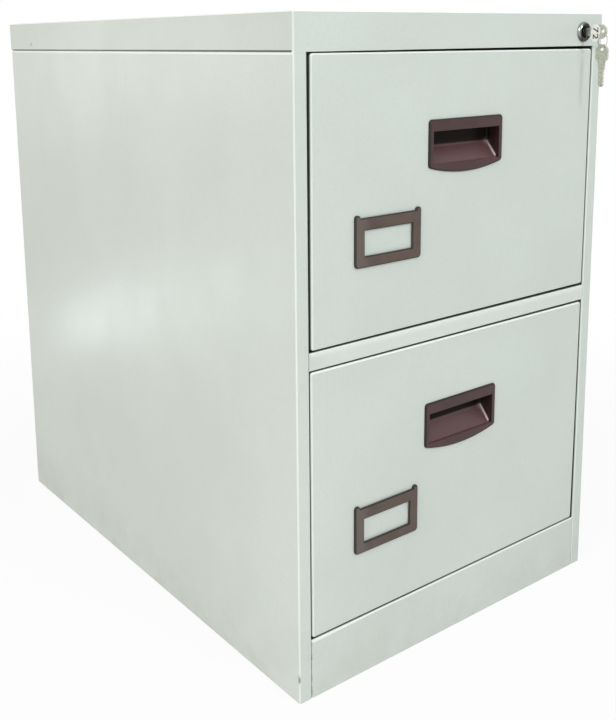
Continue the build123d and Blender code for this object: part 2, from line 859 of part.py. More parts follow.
# The ring is flat wire. It hangs in the key's hole, and the spare key hangs on it.
with BuildPart() as key_ring:
    with BuildSketch(across(ring_top_y - ring_flat / 2)):
        with Locations((lock_x, ring_z)):
            Circle(ring_radius + ring_wire / 2)
            Circle(ring_radius - ring_wire / 2, mode=Mode.SUBTRACT)
    extrude(amount=-ring_flat)
save(key_ring, "key_ring")

# An eight-sided number tag is stuck to the left face of the key's bow.
with BuildPart() as key_tag:
    tag_y = front_y - plug_face - key_neck - tag_offset
    with BuildSketch(Plane.YZ.offset(lock_x - key_thickness / 2)):
        with Locations((tag_y, lock_z - tag_drop)):
            tag = Rectangle(tag_width, tag_length)
        chamfer(tag.vertices(), tag_corner)
    extrude(amount=-tag_thickness)
save(key_tag, "key_tag")

print("roller radius", round(roller_radius, 3), "lock bar drop", round(bar_drop, 4))
print("lock axis", lock_x, front_y, lock_z, "ring pivots", ring_top_y, ring_top_z, ring_bottom_z)
print("axles", front_axle_y, middle_axle_y, rear_axle_y, "rail levels", [z + rail_lift for z in drawers.values()])
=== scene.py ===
import math

import bmesh
import bpy
from mathutils import Matrix, Vector


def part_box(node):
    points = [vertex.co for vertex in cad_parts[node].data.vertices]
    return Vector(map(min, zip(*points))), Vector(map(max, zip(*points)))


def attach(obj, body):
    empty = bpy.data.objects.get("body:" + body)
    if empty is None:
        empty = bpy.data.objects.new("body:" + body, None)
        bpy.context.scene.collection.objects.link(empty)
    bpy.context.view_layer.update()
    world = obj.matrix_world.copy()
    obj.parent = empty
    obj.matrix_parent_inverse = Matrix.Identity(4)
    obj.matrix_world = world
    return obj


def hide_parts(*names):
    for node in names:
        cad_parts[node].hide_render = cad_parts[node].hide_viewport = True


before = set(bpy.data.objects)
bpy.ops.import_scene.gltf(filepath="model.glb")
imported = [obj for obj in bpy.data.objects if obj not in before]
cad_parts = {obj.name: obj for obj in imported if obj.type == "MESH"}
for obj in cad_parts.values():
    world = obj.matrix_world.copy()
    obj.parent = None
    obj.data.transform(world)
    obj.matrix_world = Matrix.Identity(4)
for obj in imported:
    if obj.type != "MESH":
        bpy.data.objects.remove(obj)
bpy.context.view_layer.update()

MM = 0.001
UP = Vector((0, 0, 1))
WHITE = (1, 1, 1, 1)

# The carcass and its lock
FRONT = -335 * MM
HALF_WIDTH = 230 * MM
OPENING_HALF = 214 * MM
PLINTH_TOP = 65.5 * MM
RAIL_FOOT, RAIL_TOP = 355 * MM, 373 * MM
HEADER_FOOT = 662.5 * MM
LOCK = (194 * MM, 678.5 * MM)


# Shader maths as Python expressions


class Signal:
    """A number or colour on its way through a finish."""

    def __init__(self, finish, socket):
        self.finish = finish
        self.socket = socket

    def maths(self, operation, first, second):
        return self.finish.node("ShaderNodeMath", {"operation": operation}, {0: first, 1: second})

    def __add__(self, other):
        return self.maths("ADD", self, other)

    __radd__ = __add__

    def __sub__(self, other):
        return self.maths("SUBTRACT", self, other)

    def __rsub__(self, other):
        return self.maths("SUBTRACT", other, self)

    def __mul__(self, other):
        return self.maths("MULTIPLY", self, other)

    def above(self, edge, soft=0.4 * MM):
        """Rises from 0 to 1 over a soft width that is centred on the edge."""
        return self.finish.node(
            "ShaderNodeMapRange",
            {"interpolation_type": "SMOOTHSTEP"},
            {"Value": self, "From Min": edge - soft / 2, "From Max": edge + soft / 2},
        )

    def below(self, edge, soft=0.4 * MM):
        return 1 - self.above(edge, soft)

    def part(self, output):
        """Another output of the node that this signal comes from."""
        return Signal(self.finish, self.socket.node.outputs[output])


class Finish:
    """A material, or a world, that is put together from nodes."""

    def __init__(self, name, world=None):
        self.material = world or bpy.data.materials.new(name)
        self.material.use_nodes = True
        self.tree = self.material.node_tree
        self.tree.nodes.clear()
        self.place = None if world else self.node("ShaderNodeTexCoord", output="Object")

    def node(self, kind, settings=None, sockets=None, output=0):
        made = self.tree.nodes.new(kind)
        for name, value in (settings or {}).items():
            setattr(made, name, value)
        for name, value in (sockets or {}).items():
            if isinstance(value, Signal):
                self.tree.links.new(value.socket, made.inputs[name])
            else:
                made.inputs[name].default_value = value
        return Signal(self, made.outputs[output]) if made.outputs else None

    def axes(self):
        split = self.node("ShaderNodeSeparateXYZ", sockets={0: self.place})
        return split, split.part("Y"), split.part("Z")

    def stretched(self, scale, location=(0, 0, 0)):
        """The place on the piece, with a scale and an offset for each axis."""
        sockets = {"Vector": self.place, "Scale": scale, "Location": location}
        return self.node("ShaderNodeMapping", sockets=sockets)

    def noise(self, scale, detail=2.0, rough=0.5, place=None):
        sockets = {"Vector": place or self.place, "Scale": scale, "Detail": detail, "Roughness": rough}
        return self.node("ShaderNodeTexNoise", sockets=sockets)

    def blend(self, factor, first, second):
        """One colour where the factor is 0, the other where it is 1."""
        sockets = {"Factor": factor, 6: first, 7: second}
        return self.node("ShaderNodeMix", {"data_type": "RGBA"}, sockets, output=2)

    def bump(self, height, distance, strength=1.0, under=None):
        sockets = {"Height": height, "Distance": distance, "Strength": strength}
        if under:
            sockets["Normal"] = under
        return self.node("ShaderNodeBump", sockets=sockets)

    def near(self, x, y, z, stretch=(1, 1, 1)):
        """The distance from a point in metres, with a stretch along each axis."""
        centre = tuple(-place * factor for place, factor in zip((x, y, z), stretch))
        sockets = {0: self.stretched(stretch, centre)}
        return self.node("ShaderNodeVectorMath", {"operation": "LENGTH"}, sockets, output="Value")

    def facing(self):
        """How far the surface faces along X, Y and Z, without its bumps."""
        normal = self.node("ShaderNodeNewGeometry", output="Normal")
        split = self.node("ShaderNodeSeparateXYZ", sockets={0: normal})
        return split, split.part("Y"), split.part("Z")

    def turned_from_axes(self):
        """0 on a face square to an axis, and about 0.3 in the middle of a rolled edge."""
        sizes = [self.size(share) for share in self.facing()]
        return 1 - self.larger(self.larger(sizes[0], sizes[1]), sizes[2])

    def size(self, value):
        return self.node("ShaderNodeMath", {"operation": "ABSOLUTE"}, {0: value})

    def larger(self, first, second):
        return self.node("ShaderNodeMath", {"operation": "MAXIMUM"}, {0: first, 1: second})

    def seen(self):
        """1 where the camera sees the surface, also in a reflection, and 0 for the light that it gives."""
        ray = self.node("ShaderNodeLightPath", output="Is Camera Ray")
        return ray + ray.part("Is Glossy Ray") + ray.part("Is Transmission Ray")

    def close(self, **sockets):
        """Ends the finish in one Principled shader with these sockets."""
        named = {name.replace("_", " "): value for name, value in sockets.items()}
        shader = self.node("ShaderNodeBsdfPrincipled", sockets=named)
        self.node("ShaderNodeOutputMaterial", sockets={"Surface": shader})
        return self.material


def srgb(red, green, blue):
    """An sRGB colour in bytes as the linear colour that a socket takes."""

    def channel(byte):
        share = byte / 255
        return share / 12.92 if share <= 0.04045 else ((share + 0.055) / 1.055) ** 2.4

    return channel(red), channel(green), channel(blue), 1


# Finishes


def powder_coat():
    """Semi-gloss powder coat: fine orange peel, a slow unevenness of the sheet, dust and chips, painted
    highlights on rolled edges and the rail, painted shade in the reveals and on the cover's sides, and a
    paler band along the plinth's top.
    """
    coat = Finish("pale_powder_coat")
    x, y, z = coat.axes()
    side = coat.size(x)
    across, outward, upward_share = coat.facing()
    slow = coat.noise(2.6, 2.0)
    patchy = coat.noise(11.0, 3.0, 0.6)
    fine = coat.noise(420.0, 2.0)
    tone = slow * 0.6 + patchy * 0.4
    colour = coat.blend(tone.above(0.5, 0.35), srgb(203, 210, 204), srgb(209, 216, 211))
    colour = coat.blend(fine.above(0.56, 0.2) * 0.25, colour, srgb(196, 203, 196))

    foot = z.below(45 * MM, 90 * MM) * coat.noise(24.0, 4.0, 0.65).above(0.5, 0.25)
    colour = coat.blend(foot * 0.10, colour, srgb(160, 160, 146))
    streaks = coat.noise(1.0, 3.0, 0.6, coat.stretched((60.0, 60.0, 3.0))).above(0.66, 0.12)
    colour = coat.blend(streaks * 0.05, colour, srgb(178, 182, 172))

    # Painted shade: the cover's sides are darkened a little, as shade on them.
    skirt = z.above(HEADER_FOOT + 1.5 * MM) * side.above(HALF_WIDTH - 1 * MM, 1 * MM)
    colour = coat.blend(skirt * 0.28, colour, srgb(186, 194, 188))

    # Painted highlights: rolled edges are made pale as light catching them, and nearly white where they
    # face up. Below the skirt's groove the painted highlight is a little wider.
    edge = coat.turned_from_axes().above(0.07, 0.12)
    groove_shoulder_highlight = z.above(HEADER_FOOT - 2.5 * MM, 1.2 * MM) * z.below(HEADER_FOOT + 0.5 * MM, 0.6 * MM)
    groove_shoulder_highlight = groove_shoulder_highlight * side.above(HALF_WIDTH - 2 * MM, 1 * MM) * coat.size(across).above(0.9, 0.1)
    pale = coat.larger(edge * 0.5, groove_shoulder_highlight * 0.9)
    colour = coat.blend(pale, colour, srgb(238, 246, 240))
    upper_edge_highlight = edge * upward_share.above(0.3, 0.4)
    colour = coat.blend(upper_edge_highlight * 0.8, colour, srgb(252, 255, 252))

    # Painted highlight: the rail between the drawers is made paler, most of all along its top edge, and
    # less towards its left end.
    front = y.below(FRONT + 0.5 * MM) * side.below(OPENING_HALF - 2 * MM, 0.6 * MM)
    rail = front * z.above(RAIL_FOOT) * z.below(RAIL_TOP)
    rail_share = 0.28 + z.above(RAIL_TOP - 4 * MM, 6 * MM) * 0.55
    inward = 1 - x.below(-196 * MM, 30 * MM) * z.below(RAIL_TOP - 4 * MM, 8 * MM)
    colour = coat.blend(rail * rail_share * inward, colour, srgb(228, 234, 229))
    # The plinth's front is paler in a ragged band just under its top edge, widest at its left end.
    wander = coat.noise(70.0, 3.0, 0.6) * (3 * MM) + x.below(-150 * MM, 100 * MM) * (2.2 * MM)
    plinth_pale_band = front * z.below(PLINTH_TOP + 0.1 * MM) * (z + wander).above(PLINTH_TOP + 0.7 * MM, 1.2 * MM)
    colour = coat.blend(plinth_pale_band * 0.75, colour, srgb(236, 242, 237))

    # Painted shade: the reveals round the drawers, the groove under the skirt and the seam beside the
    # plinth are darkened where shade falls, the seam in patches.
    in_opening = side.below(OPENING_HALF + 0.6 * MM) * z.above(PLINTH_TOP - 0.3 * MM)
    in_opening = in_opening * z.below(HEADER_FOOT + 2.5 * MM)
    on_cabinet = coat.larger(side.above(OPENING_HALF - 1 * MM), z.above(HEADER_FOOT - 1 * MM))
    on_cabinet = coat.larger(on_cabinet, z.below(PLINTH_TOP + 1 * MM))
    on_cabinet = coat.larger(on_cabinet, z.above(RAIL_FOOT - 1 * MM) * z.below(RAIL_TOP + 1 * MM))
    depth = coat.larger(y.below(FRONT + 6.4 * MM, 2 * MM), on_cabinet * y.below(FRONT + 23 * MM, 1 * MM))
    returns = y.above(FRONT + 2.2 * MM, 1.2 * MM) * depth * coat.size(outward).below(0.55, 0.3)
    groove = z.above(HEADER_FOOT - 0.3 * MM, 0.3 * MM) * z.below(HEADER_FOOT + 1.7 * MM, 0.3 * MM)
    groove = groove * y.above(FRONT + 2.2 * MM, 0.6 * MM)
    seam = y.below(FRONT + 2.5 * MM, 1 * MM) * z.below(PLINTH_TOP - 1.5 * MM, 1 * MM)
    seam = seam * side.above(OPENING_HALF - 1.2 * MM, 1.2 * MM) * side.below(OPENING_HALF + 0.3 * MM)
    # Noise that makes the seam's painted shade patchy
    dust = coat.noise(90.0, 4.0, 0.7).above(0.52, 0.3)
    shade = coat.larger(coat.larger(in_opening * returns, groove), seam * (0.15 + dust * 0.5))
    colour = coat.blend(shade * 0.86, colour, srgb(52, 54, 52))

    # A chip at the foot of the left front edge, and a nick at the rear of the skirt's left foot
    ragged = coat.noise(330.0, 3.0, 0.6) * (5 * MM)
    chip = coat.near(-HALF_WIDTH, FRONT + 0.5 * MM, 27 * MM, (1.5, 1, 0.42)) + ragged
    nick = coat.near(-HALF_WIDTH, 262 * MM, HEADER_FOOT + 8 * MM, (1, 0.6, 0.8)) + ragged
    worn = coat.larger(chip.below(4.4 * MM, 1.4 * MM) * 0.8, nick.below(4.6 * MM, 1.6 * MM) * 0.35)
    bare = coat.blend(coat.noise(900.0), srgb(88, 90, 90), srgb(134, 136, 136))
    colour = coat.blend(worn, colour, bare)

    smudge = coat.noise(7.0, 4.0, 0.62)
    roughness = 0.30 + smudge.above(0.55, 0.5) * 0.12 + worn * 0.3 + foot * 0.15
    sheet = coat.bump(coat.noise(5.5, 1.0), 1.6 * MM)
    peel = coat.bump(coat.noise(640.0, 1.0), 0.035 * MM, 0.7, sheet)
    normal = coat.bump(1 - worn, 0.12 * MM, 1.0, peel)
    return coat.close(Base_Color=colour, Roughness=roughness, Normal=normal, Specular_IOR_Level=0.42)


# The mouth of the lower handle, and the end of the ridge at the back of its floor. The upper handle's are
# the same, only higher.
MOUTH_HALF = 50.4 * MM
MOUTH_FOOT, MOUTH_TOP = 236.4 * MM, 271.4 * MM
RIDGE_END = (47 * MM, FRONT + 13.5 * MM, 253.5 * MM)
HANDLE_SPACING = 307.5 * MM
BETWEEN_HANDLES = 400 * MM


def moulded_plastic(name, light, dark, painted_shade_colour, paler_colour, rough):
    """Satin moulded plastic: a fine spark-eroded grain, painted shade on the rim's edges and in the pocket,
    painted highlights on the floor and along its corners, and a paler left bar.
    """
    plastic = Finish(name)
    x, y, z = plastic.axes()
    across, outward, upward_share = plastic.facing()
    cloud = plastic.noise(38.0, 3.0, 0.6)
    colour = plastic.blend(cloud.above(0.5, 0.5), dark, light)
    grain = plastic.noise(1900.0, 2.0)
    colour = plastic.blend(grain.above(0.62, 0.2) * 0.2, colour, light)

    # Painted shade darkens the rim's rolled edges and side walls, and the inside of the finger pocket,
    # where shade falls.
    height = z - z.above(BETWEEN_HANDLES, 10 * MM) * HANDLE_SPACING
    in_mouth = plastic.size(x).below(MOUTH_HALF, 0.3 * MM)
    in_mouth = in_mouth * height.above(MOUTH_FOOT, 0.3 * MM) * height.below(MOUTH_TOP, 0.3 * MM)
    floor = in_mouth * upward_share.above(0.30, 0.3)
    rim_wall = y.below(FRONT + 0.2 * MM, 0.6 * MM) * plastic.size(outward).below(0.975, 0.03) * (1 - floor)
    pocket = y.above(FRONT + 1.5 * MM, 3 * MM) * upward_share.below(0.30, 0.3)
    back = y.above(FRONT + 11.5 * MM, 3 * MM) * upward_share.below(0.30, 0.3)
    # Painted light: the floor is made paler as light falling on it. The label's left bar is made paler too.
    left_bar = x.below(-143 * MM, 12 * MM)
    colour = plastic.blend(plastic.larger(floor * 0.7, left_bar * 0.4), colour, paler_colour)
    colour = plastic.blend(rim_wall * 0.85, colour, painted_shade_colour)
    colour = plastic.blend(pocket * 0.45, colour, painted_shade_colour)

    # Painted highlight along the rounded corner between floor and wall, with a small painted highlight
    # where it meets the ridge.
    corner = in_mouth * y.above(FRONT + 1.5 * MM, 2 * MM) * across.below(-0.25, 0.3)
    corner = corner * upward_share.above(0.28, 0.3)
    ridge_x, ridge_y, ridge_z = RIDGE_END
    ridge_ends = [plastic.near(ridge_x, ridge_y, ridge_z + rise) for rise in (HANDLE_SPACING, 0)]
    ridge = plastic.larger(*(end.below(3 * MM, 6 * MM) for end in ridge_ends))
    colour = plastic.blend(plastic.larger(corner * 0.8, ridge * 0.2), colour, srgb(202, 186, 188))

    roughness = rough + cloud.above(0.52, 0.4) * 0.10 + rim_wall * 0.2
    normal = plastic.bump(grain, 0.04 * MM, 0.8)
    sockets = {"Base Color": colour, "Roughness": roughness, "Normal": normal, "Specular IOR Level": 0.4}
    satin = plastic.node("ShaderNodeBsdfPrincipled", sockets=sockets)
    # Painted shade: a dark diffuse shader is mixed in at the back of the pocket, but not at the ridge's
    # painted highlight.
    painted_shade_shader = plastic.node("ShaderNodeBsdfDiffuse", sockets={"Color": srgb(26, 23, 22)})
    sockets = {"Fac": back * 0.85 * (1 - ridge), 1: satin, 2: painted_shade_shader}
    mixed = plastic.node("ShaderNodeMixShader", sockets=sockets)
    plastic.node("ShaderNodeOutputMaterial", sockets={"Surface": mixed})
    return plastic.material


def turned_chrome(name, shade, bright, glint):
    """Chrome with fine rings from turning round the lock's axis. Its dark colours are painted reflection of
    darker surroundings, and it is painted lighter where it faces up and to the left, as the window's
    reflection.
    """
    chrome = Finish(name)
    axis = chrome.near(LOCK[0], 0, LOCK[1], (1, 0, 1))
    sockets = {"W": axis * 2600.0, "Scale": 1.0, "Detail": 2.0}
    rings = chrome.node("ShaderNodeTexNoise", {"noise_dimensions": "1D"}, sockets)
    spots = chrome.noise(900.0, 3.0, 0.6)
    across, _, upward_share = chrome.facing()
    # Painted reflection: lighter where the surface faces up and to the left.
    lit = (upward_share * 0.5 - across * 0.9).above(0.45, 0.9)
    colour = chrome.blend(rings.above(0.5, 0.3), shade, bright)
    colour = chrome.blend(lit * 0.8, colour, glint)
    colour = chrome.blend(spots.above(0.66, 0.08) * 0.4, colour, shade)
    roughness = 0.14 + spots * 0.16
    normal = chrome.bump(rings, 0.04 * MM, 0.9)
    return chrome.close(Base_Color=colour, Metallic=1.0, Roughness=roughness, Normal=normal)


def worn_metal(name, light, dark, under, scale, rough):
    """Plated metal that is mottled by handling, with fine scratches along its length."""
    metal = Finish(name)
    cloud = metal.noise(scale, 4.0, 0.66)
    scratch = metal.noise(1.0, 3.0, 0.7, metal.stretched((900.0, 900.0, 120.0)))
    colour = metal.blend(cloud.above(0.48, 0.3), dark, light)
    colour = metal.blend(metal.noise(scale * 1.9, 3.0, 0.6).above(0.6, 0.12) * 0.6, colour, under)
    colour = metal.blend(scratch.above(0.62, 0.1) * 0.35, colour, light)
    roughness = rough + cloud * 0.2 + scratch * 0.08
    normal = metal.bump(scratch + cloud * 0.4, 0.04 * MM, 0.8)
    return metal.close(Base_Color=colour, Metallic=1.0, Roughness=roughness, Normal=normal)


def bright_zinc():
    """Bright zinc plate on rolled steel, with drawing lines along the rail and a faint yellow tint."""
    zinc = Finish("bright_zinc")
    lines = zinc.noise(1.0, 3.0, 0.7, zinc.stretched((700.0, 9.0, 900.0)))
    cloud = zinc.noise(16.0, 3.0, 0.6)
    colour = zinc.blend(cloud.above(0.5, 0.5), srgb(186, 188, 188), srgb(208, 207, 198))
    colour = zinc.blend(lines.above(0.62, 0.15) * 0.4, colour, srgb(150, 150, 150))
    grease = zinc.noise(55.0, 4.0, 0.65).above(0.66, 0.1)
    colour = zinc.blend(grease * 0.35, colour, srgb(112, 104, 88))
    roughness = 0.24 + lines * 0.16 + grease * 0.1
    normal = zinc.bump(lines, 0.05 * MM, 0.8)
    return zinc.close(Base_Color=colour, Metallic=1.0, Roughness=roughness, Normal=normal)


def galvanised():
    """Galvanised sheet with its crystal spangle."""
    sheet = Finish("galvanised_sheet")
    sockets = {"Vector": sheet.place, "Scale": 140.0}
    spangle = sheet.node("ShaderNodeTexVoronoi", {"feature": "F1"}, sockets, output="Color")
    crystal = sheet.node("ShaderNodeSeparateXYZ", sockets={0: spangle})
    colour = sheet.blend(crystal, srgb(150, 154, 157), srgb(196, 199, 201))
    stain = sheet.noise(30.0, 4.0, 0.65).above(0.62, 0.15)
    colour = sheet.blend(stain * 0.3, colour, srgb(128, 130, 130))
    roughness = 0.34 + crystal.part("Y") * 0.22
    normal = sheet.bump(sheet.noise(260.0, 2.0), 0.03 * MM, 0.7)
    return sheet.close(Base_Color=colour, Metallic=0.9, Roughness=roughness, Normal=normal)


def nylon():
    """Natural nylon: slightly translucent, a little yellowed, with runner dust."""
    roller = Finish("natural_nylon")
    cloud = roller.noise(120.0, 3.0)
    colour = roller.blend(cloud.above(0.5, 0.4), srgb(222, 219, 204), srgb(232, 230, 219))
    dust = roller.noise(260.0, 4.0, 0.65).above(0.62, 0.14)
    colour = roller.blend(dust * 0.4, colour, srgb(150, 146, 134))
    return roller.close(
        Base_Color=colour,
        Roughness=0.42 + dust * 0.2,
        Normal=roller.bump(roller.noise(700.0), 0.04 * MM, 0.8),
        Subsurface_Weight=0.08,
        Subsurface_Scale=2 * MM,
    )


def tag_white():
    """White tag plastic with grey smears from handling."""
    tag = Finish("white_tag")
    smear = tag.noise(260.0, 4.0, 0.6)
    colour = tag.blend(smear.above(0.55, 0.3), srgb(238, 238, 234), srgb(222, 221, 214))
    normal = tag.bump(tag.noise(1500.0), 0.03 * MM, 0.6)
    return tag.close(Base_Color=colour, Roughness=0.38 + smear * 0.15, Normal=normal)


def marker_ink():
    """Black ink of the tag's number, worn thin in places."""
    ink = Finish("tag_ink")
    wear = ink.noise(900.0, 3.0, 0.6)
    colour = ink.blend(wear.above(0.6, 0.2), srgb(44, 46, 50), srgb(92, 94, 98))
    return ink.close(Base_Color=colour, Roughness=0.5 + wear * 0.2)


PAINT = powder_coat()
# Each plastic has two tones of its own, a painted shade colour and a paler colour for painted light.
HANDLE = moulded_plastic(
    "reddish_brown_plastic",
    light=srgb(71, 43, 44),
    dark=srgb(59, 35, 35),
    painted_shade_colour=srgb(18, 12, 12),
    paler_colour=srgb(102, 71, 72),
    rough=0.30,
)
LABEL = moulded_plastic(
    "grey_brown_plastic",
    light=srgb(92, 76, 68),
    dark=srgb(76, 63, 55),
    painted_shade_colour=srgb(34, 32, 28),
    paler_colour=srgb(112, 103, 99),
    rough=0.42,
)
# Dark colours for both chromes, as painted reflection of darker surroundings.
CHROME = turned_chrome("dark_chrome", srgb(34, 36, 35), srgb(84, 88, 87), srgb(168, 172, 171))
BARREL = turned_chrome("lock_barrel", srgb(18, 20, 19), srgb(44, 47, 46), srgb(96, 99, 98))
KEY = worn_metal(
    "worn_nickel_brass",
    light=srgb(224, 223, 212),
    dark=srgb(186, 183, 171),
    under=srgb(200, 190, 160),
    scale=420.0,
    rough=0.26,
)
WIRE = worn_metal(
    "steel_wire",
    light=srgb(176, 178, 182),
    dark=srgb(128, 130, 134),
    under=srgb(150, 148, 142),
    scale=500.0,
    rough=0.22,
)
ZINC = bright_zinc()
GALVANISED = galvanised()
NYLON = nylon()
TAG = tag_white()
INK = marker_ink()


# Modelling by hand

# Edges that turn by more than this many degrees are sharp.
SHARP = 32


def nothing_selected():
    """Leave edit mode and deselect every object."""
    if bpy.context.object and bpy.context.object.mode != "OBJECT":
        bpy.ops.object.mode_set(mode="OBJECT")
    bpy.ops.object.select_all(action="DESELECT")


def lone(piece):
    """Make one object the only selected one."""
    nothing_selected()
    piece.select_set(True)
    bpy.context.view_layer.objects.active = piece


def begin(name):
    """Name the primitive that was just added, apply its place to its mesh and open it for editing."""
    piece = bpy.context.object
    piece.name = name
    piece.data.name = name
    bpy.ops.object.transform_apply(location=True, rotation=True, scale=True)
    bpy.ops.object.mode_set(mode="EDIT")
    bpy.ops.mesh.select_all(action="DESELECT")
    return piece


def box(name, low, high):
    nothing_selected()
    low, high = Vector(low), Vector(high)
    bpy.ops.mesh.primitive_cube_add(size=1, location=(low + high) / 2, scale=high - low)
    return begin(name)


def plate(name, low, high):
    """A plane across the cabinet that faces the front, from one corner to the other."""
    nothing_selected()
    low, high = Vector(low), Vector(high)
    size = high - low
    bpy.ops.mesh.primitive_plane_add(size=1, location=(low + high) / 2, rotation=(math.pi / 2, 0, 0))
    bpy.context.object.scale = (size.x, size.z, 1)
    return begin(name)


def middle(item):
    return sum((vert.co for vert in item.verts), Vector()) / len(item.verts)


def pick(kind, test):
    """In edit mode, select the edges or faces that pass a test, and nothing else."""
    bpy.ops.mesh.select_mode(type={"edges": "EDGE", "faces": "FACE"}[kind])
    bpy.ops.mesh.select_all(action="DESELECT")
    shape = bmesh.from_edit_mesh(bpy.context.object.data)
    shape.normal_update()
    chosen = [item for item in getattr(shape, kind) if test(item)]
    for item in chosen:
        item.select_set(True)
    shape.select_flush_mode()
    bmesh.update_edit_mesh(bpy.context.object.data)


def remove_faces(test):
    """In edit mode, delete the faces that pass a test."""
    pick("faces", test)
    bpy.ops.mesh.delete(type="FACE")


def reshape(change):
    """In edit mode, let a function move each vert."""
    shape = bmesh.from_edit_mesh(bpy.context.object.data)
    for vert in shape.verts:
        change(vert)
    bmesh.update_edit_mesh(bpy.context.object.data)


def weld(gap=0.001 * MM):
    """In edit mode, merge verts that lie closer than this, and leave everything selected."""
    bpy.ops.mesh.select_all(action="SELECT")
    bpy.ops.mesh.remove_doubles(threshold=gap)
    bpy.ops.mesh.select_all(action="SELECT")


def face_outward():
    """In edit mode, turn every face outward."""
    bpy.ops.mesh.select_all(action="SELECT")
    bpy.ops.mesh.normals_make_consistent(inside=False)


def cut(*planes):
    """Bisect the whole piece by planes, each given as an axis and a place on it."""
    for axis, place in planes:
        point, normal = Vector(), Vector()
        index = "xyz".index(axis)
        point[index], normal[index] = place, 1
        bpy.ops.mesh.select_mode(type="VERT")
        bpy.ops.mesh.select_all(action="SELECT")
        bpy.ops.mesh.bisect(plane_co=point, plane_no=normal)


def push(x=0, y=0, z=0):
    """Extrude what is selected by this much."""
    bpy.ops.mesh.extrude_region_move(TRANSFORM_OT_translate={"value": (x, y, z)})


def slide(x=0, y=0, z=0):
    """Move what is selected by this much."""
    bpy.ops.transform.translate(value=(x, y, z))


def roll(width, segments):
    """Bevel the selected edges."""
    bpy.ops.mesh.bevel(offset=width, segments=segments, affect="EDGES", clamp_overlap=True)


def is_close(first, second):
    return abs(first - second) < 0.05 * MM


def along(edge, axis):
    """Whether an edge runs along this axis."""
    run = (edge.verts[1].co - edge.verts[0].co).normalized()
    return abs(run["xyz".index(axis)]) > 0.999


def finish_modifier(piece, kind, **settings):
    lone(piece)
    modifier = piece.modifiers.new(kind.title(), kind)
    for name, value in settings.items():
        setattr(modifier, name, value)
    bpy.ops.object.modifier_apply(modifier=modifier.name)


def ready(piece, body, material, *stands_for, angle=SHARP):
    """End a piece: smooth shading, its finish, its body and the nodes that it stands for."""
    lone(piece)
    bpy.ops.object.shade_smooth_by_angle(angle=math.radians(angle))
    finish_modifier(piece, "WEIGHTED_NORMAL", keep_sharp=True, weight=60)
    piece.data.materials.clear()
    piece.data.materials.append(material)
    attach(piece, body)
    if stands_for:
        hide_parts(*stands_for)


def new_object(name, data):
    """An object with this data, in the scene."""
    made = bpy.data.objects.new(name, data)
    bpy.context.scene.collection.objects.link(made)
    return made


def cad_copy(node, name):
    """A merged copy of a CAD node's mesh, open for editing."""
    piece = new_object(name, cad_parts[node].data.copy())
    lone(piece)
    bpy.ops.object.mode_set(mode="EDIT")
    if piece.data.has_custom_normals:
        bpy.ops.mesh.customdata_custom_splitnormals_clear()
    weld()
    bpy.ops.mesh.dissolve_limited(angle_limit=math.radians(0.5))
    bpy.ops.mesh.select_all(action="DESELECT")
    return piece


def roll_sharp(piece, width, segments, angle):
    """Bevel every edge of a piece that is sharper than an angle in degrees."""
    limits = {"limit_method": "ANGLE", "angle_limit": math.radians(angle), "use_clamp_overlap": True}
    finish_modifier(piece, "BEVEL", width=width, segments=segments, **limits)


def softened(node, body, material, width, segments=2):
    """A copy of a CAD node with its edges rolled."""
    piece = cad_copy(node, f"{node}_finished")
    roll_sharp(piece, width, segments, SHARP)
    ready(piece, body, material, node)


def turned(name, profile):
    """A piece turned round the lock's axis: its closed profile is (radius, y) points in millimetres."""
    centre_x, centre_z = LOCK
    nothing_selected()
    bpy.ops.mesh.primitive_plane_add(size=MM, location=(centre_x, 0, centre_z))
    piece = begin(name)
    bpy.ops.mesh.select_all(action="SELECT")
    bpy.ops.mesh.merge(type="CENTER")
    radius, y = profile[0]
    bpy.ops.mesh.select_all(action="SELECT")
    slide(x=radius * MM, y=y * MM)
    for next_radius, next_y in [*profile[1:], profile[0]]:
        step = ((next_radius - radius) * MM, (next_y - y) * MM, 0)
        bpy.ops.mesh.extrude_vertices_move(TRANSFORM_OT_translate={"value": step})
        radius, y = next_radius, next_y
    weld()
    bpy.ops.mesh.spin(steps=72, angle=math.tau, center=(centre_x, 0, centre_z), axis=(0, 1, 0))
    weld()
    face_outward()
    return piece


# Drawer fronts

FRONT_ROLL = 2.4 * MM
FRONT_CORNER = 3.0 * MM
FRONT_SHEET = 1.0 * MM

# The drawers sit a little crooked, so the gaps round their fronts taper. Each edge is further in than
# drawn by this many millimetres, at its foot and its top, or at its left and its right end.
CROOKED = {
    "upper": {"left": (1.0, 2.1), "right": (0.2, 0.2), "foot": (-0.2, 0.9), "top": (-0.8, 1.3)},
    "lower": {"left": (-0.5, -0.5), "right": (2.3, 0.2), "foot": (0.1, -0.1), "top": (0.0, 0.8)},
}


def set_crooked(drawer, low, high):
    """In edit mode, move the edges of a sheet to where the crooked drawer has them."""
    inset = CROOKED[drawer]
    near = FRONT_CORNER + 0.1 * MM

    def between_ends(edge, share):
        return (inset[edge][0] * (1 - share) + inset[edge][1] * share) * MM

    def move(vert):
        x, z = vert.co.x, vert.co.z
        across, up = (x - low.x) / (high.x - low.x), (z - low.z) / (high.z - low.z)
        if x < low.x + near:
            vert.co.x += between_ends("left", up)
        if x > high.x - near:
            vert.co.x -= between_ends("right", up)
        if z < low.z + near:
            vert.co.z += between_ends("foot", across)
        if z > high.z - near:
            vert.co.z -= between_ends("top", across)

    reshape(move)


